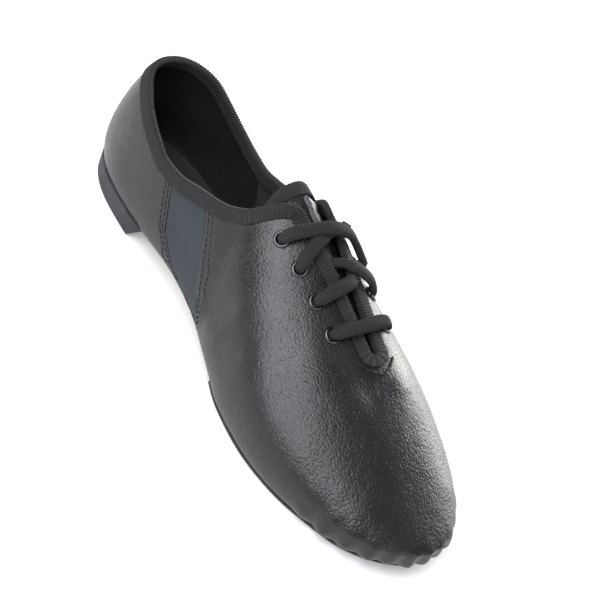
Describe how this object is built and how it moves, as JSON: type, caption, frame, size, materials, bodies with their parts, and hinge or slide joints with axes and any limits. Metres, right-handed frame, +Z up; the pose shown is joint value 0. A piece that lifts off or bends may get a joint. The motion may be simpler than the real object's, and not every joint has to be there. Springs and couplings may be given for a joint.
{
  "type": "jazz shoe",
  "caption": "black leather split-sole lace-up dance shoe for the right foot, with elastic side insets, bound collar, ribbed lace and a low rubber heel",
  "frame": {"origin": "on the floor under the middle of the shoe's overall box", "axes": "+Z up, +Y from toe to heel, +X towards the inner (medial) side of this right shoe"},
  "size_m": [0.0858, 0.2464, 0.0769],
  "materials": {
    "leather": "black pebbled leather, satin",
    "elastic": "dark slate woven elastic, matt",
    "tape": "black ribbed tape, matt",
    "lace": "black ribbed lace, matt",
    "eyelet": "dark gunmetal, semi-gloss",
    "insole": "tan board, matt",
    "outsole": "black fine-textured rubber, matt",
    "heel": "dark grey textured rubber, matt"
  },
  "bodies": {
    "root": {"upper": "leather", "gore_lateral": "elastic", "gore_medial": "elastic", "collar_binding": "tape", "tongue": "leather", "tongue_binding": "tape", "insole": "insole", "forefoot_outsole": "outsole", "heel": "heel", "eyelet_lateral_1": "eyelet", "eyelet_lateral_2": "eyelet", "eyelet_lateral_3": "eyelet", "eyelet_lateral_4": "eyelet", "eyelet_medial_1": "eyelet", "eyelet_medial_2": "eyelet", "eyelet_medial_3": "eyelet", "eyelet_medial_4": "eyelet", "lace_bar": "lace", "lace_cross_low": "lace", "lace_cross_high": "lace"}
  },
  "joints": []
}
